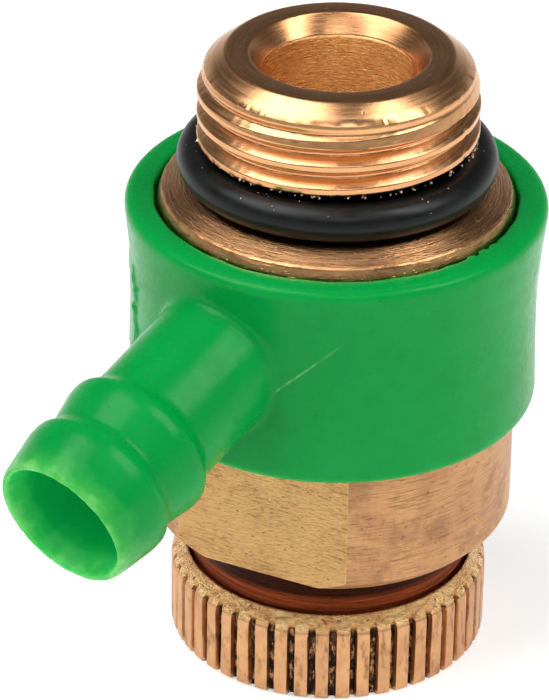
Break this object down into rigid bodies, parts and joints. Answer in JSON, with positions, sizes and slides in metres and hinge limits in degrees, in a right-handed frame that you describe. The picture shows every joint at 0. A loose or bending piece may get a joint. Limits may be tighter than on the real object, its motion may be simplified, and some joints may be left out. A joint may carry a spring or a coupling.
{
  "type": "automatic air vent",
  "caption": "Brass automatic air vent with threaded spigot, sealing ring, swivelling drain collar with barbed hose tail, wrench flats and knurled release knob.",
  "frame": {"origin": "centre of the knob's flat end face", "axes": "+Z along the screw thread's axis towards the spigot's open end; the hose tail points towards -Y at rest"},
  "size_m": [0.0316, 0.0497, 0.049],
  "materials": {
    "stem_brass": "turned, satin",
    "body_brass": "milled and turned, satin",
    "knob_brass": "knurled, satin",
    "pin_brass": "turned",
    "collar_plastic": "moulded, semi-gloss",
    "o_ring_rubber": "smooth",
    "seal_rubber": "smooth",
    "spring_steel": "bright drawn",
    "fibre_board": "pressed fibre"
  },
  "bodies": {
    "fitting": {"inlet_stem": "stem_brass", "spigot_o_ring": "o_ring_rubber", "wrench_body": "body_brass", "inlet_strainer": "spring_steel", "strainer_clip": "spring_steel", "opening_spring": "spring_steel", "pin_guide": "pin_brass", "guide_clip": "spring_steel", "collar_seal_upper": "seal_rubber", "collar_seal_lower": "seal_rubber", "knob_seal": "seal_rubber", "body_gasket": "fibre_board"},
    "collar": {"swivel_collar": "collar_plastic"},
    "plunger": {"valve_pin": "pin_brass", "valve_pad": "seal_rubber", "pressure_washer": "spring_steel", "fibre_disc_1": "fibre_board", "fibre_disc_2": "fibre_board", "fibre_disc_3": "fibre_board", "fibre_disc_4": "fibre_board", "fibre_disc_5": "fibre_board", "disc_plate": "spring_steel"},
    "knob": {"knob": "knob_brass"}
  },
  "joints": [
    {"name": "collar_swivel", "type": "hinge", "parent": "fitting", "child": "collar", "pos_m": [0, 0, 0.0293], "axis": [0, 0, 1], "continuous": true},
    {"name": "plunger_slide", "type": "slide", "parent": "fitting", "child": "plunger", "axis": [0, 0, -1], "range_m": [0, 0.002], "deforming": ["opening_spring"]},
    {"name": "knob_turn", "type": "hinge", "parent": "plunger", "child": "knob", "pos_m": [0, 0, 0.0035], "axis": [0, 0, -1], "range_deg": [0, 720]}
  ],
  "couplings": [
    {"joint": "plunger_slide", "follows": "knob_turn", "m_per_rad": 0.00015915}
  ]
}
